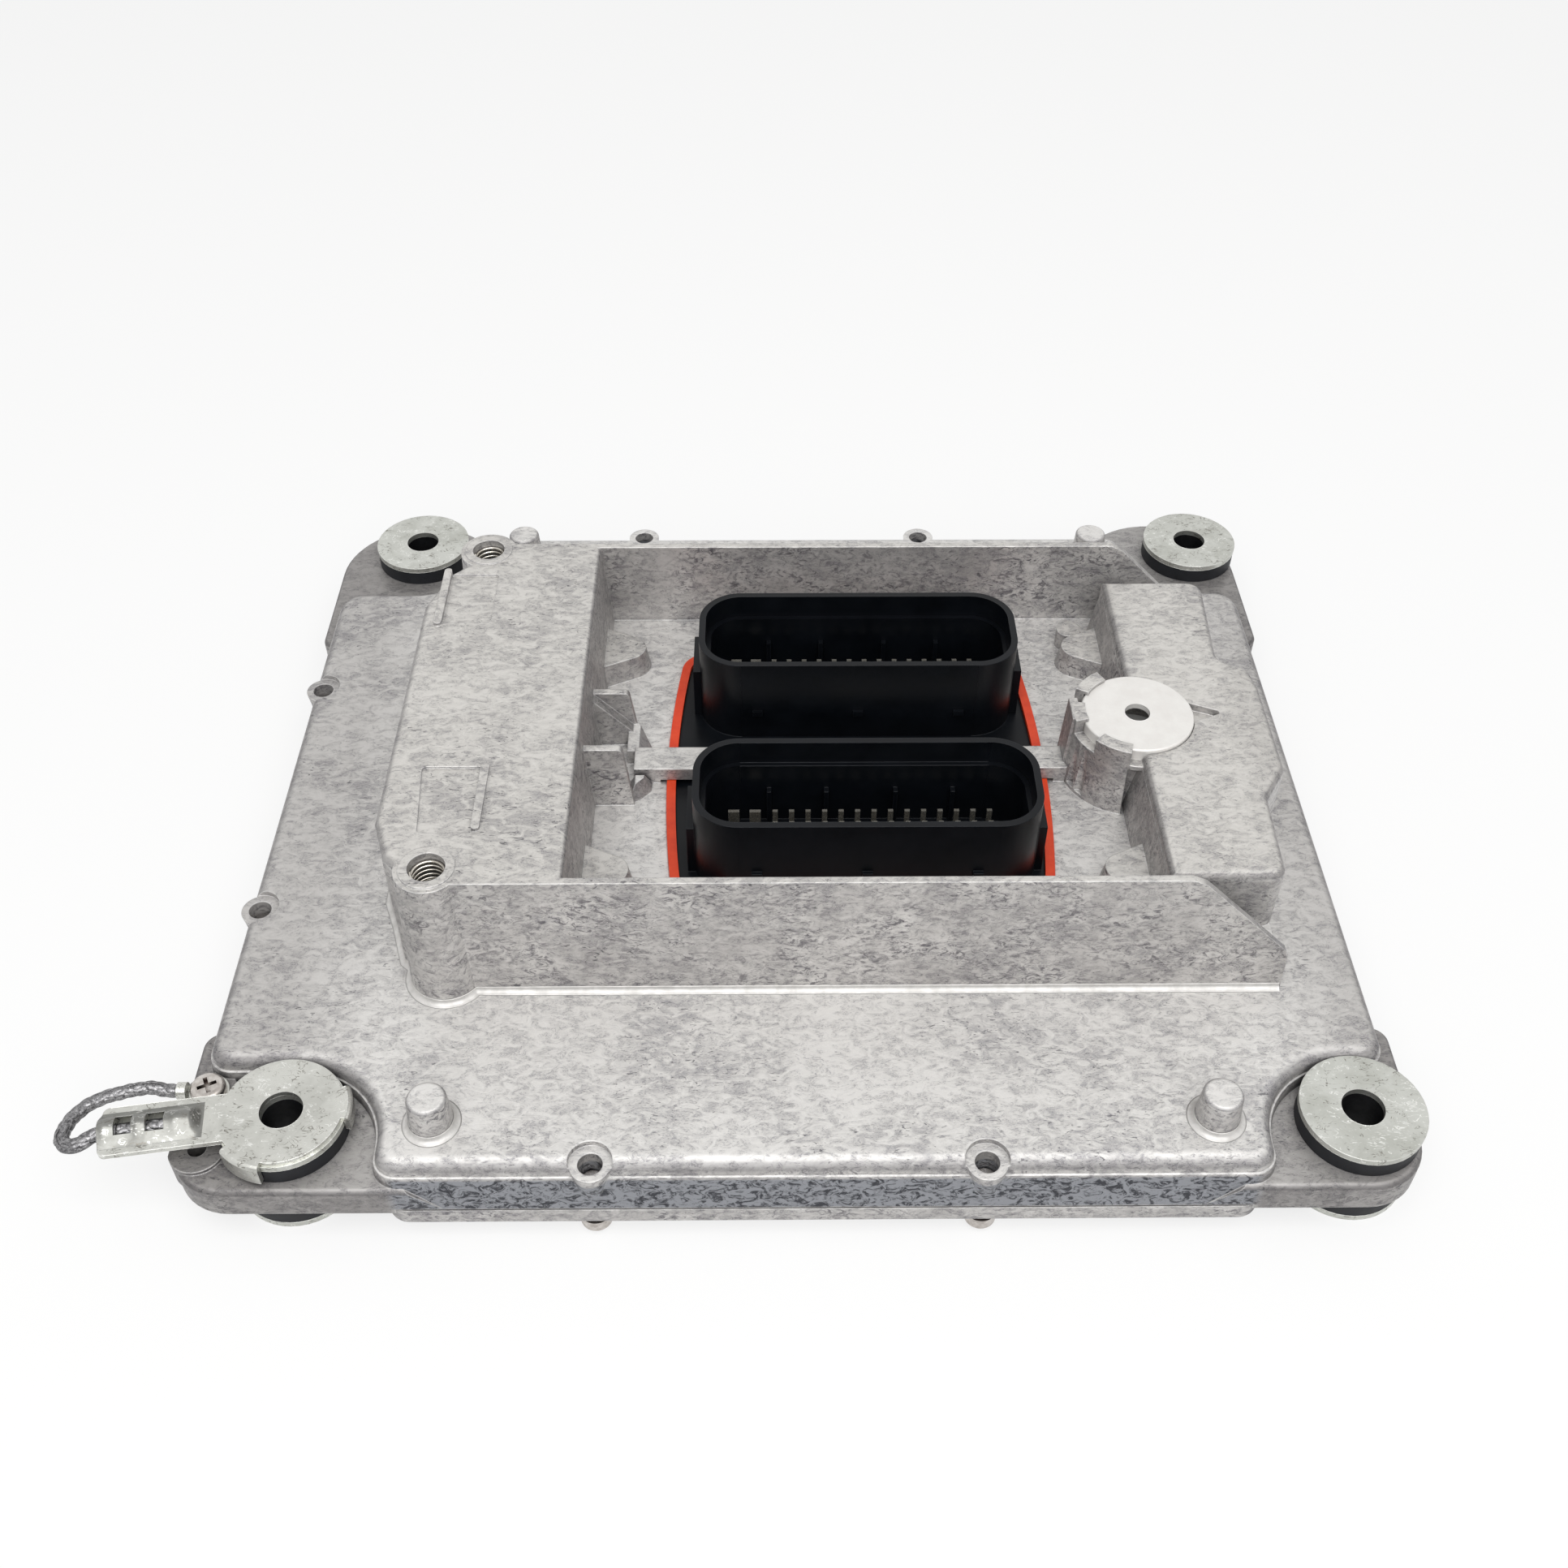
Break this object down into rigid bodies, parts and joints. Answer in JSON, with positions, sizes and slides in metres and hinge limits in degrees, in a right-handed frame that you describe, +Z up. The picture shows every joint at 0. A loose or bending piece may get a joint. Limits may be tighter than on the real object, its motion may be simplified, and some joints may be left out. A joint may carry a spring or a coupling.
{
  "type": "engine control unit",
  "caption": "Die-cast engine control unit on four rubber mounts, with two upright multi-way connector shells in a walled pocket, a vent cap and a short braided ground strap.",
  "frame": {"origin": "centre of the rectangle of the four mounting holes, on the plane that the lower washers rest on", "axes": "+Z up, along the mounting bolts; +X along the long side, from the ground strap to the vent side; +Y to the back, away from the connector pocket's front wall"},
  "size_m": [0.2906, 0.2368, 0.06],
  "materials": {
    "cast_aluminium": "die-cast, satin with flow marks",
    "gasket_rubber": "matt",
    "screw_steel": "zinc plated",
    "header_plastic": "fine satin",
    "seal_silicone": "satin",
    "contact_metal": "tin plated",
    "cap_plastic": "satin",
    "membrane": "matt",
    "insert_steel": "zinc plated",
    "zinc_steel": "zinc plated, scratched",
    "mount_rubber": "matt",
    "tinned_metal": "tin plated",
    "tinned_braid": "woven wire",
    "board_laminate": "satin",
    "chip_plastic": "matt",
    "pad_silicone": "matt",
    "can_aluminium": "satin",
    "ferrite": "matt",
    "can_steel": "satin"
  },
  "bodies": {
    "root": {"upper_housing": "cast_aluminium", "bottom_cover": "cast_aluminium", "cover_gasket": "gasket_rubber", "cover_screws": "screw_steel", "connector_header": "header_plastic", "header_seal": "seal_silicone", "signal_pins_rear": "contact_metal", "signal_pins_front": "contact_metal", "power_pins_rear": "contact_metal", "power_pins_front": "contact_metal", "vent_cap": "cap_plastic", "vent_membrane": "membrane", "threaded_inserts": "insert_steel", "upper_washers": "zinc_steel", "lower_washers": "zinc_steel", "upper_isolators": "mount_rubber", "lower_isolators": "mount_rubber", "spacer_sleeves": "zinc_steel", "ground_terminal": "tinned_metal", "ground_braid": "tinned_braid", "braid_ring": "tinned_metal", "ground_washer": "tinned_metal", "ground_screw": "screw_steel", "circuit_board": "board_laminate", "board_screws": "screw_steel", "main_processor": "chip_plastic", "memory_chip": "chip_plastic", "driver_chips": "chip_plastic", "thermal_pads": "pad_silicone", "supply_capacitors": "can_aluminium", "power_inductors": "ferrite", "clock_crystal": "can_steel", "pressure_sensor": "chip_plastic"}
  },
  "joints": []
}
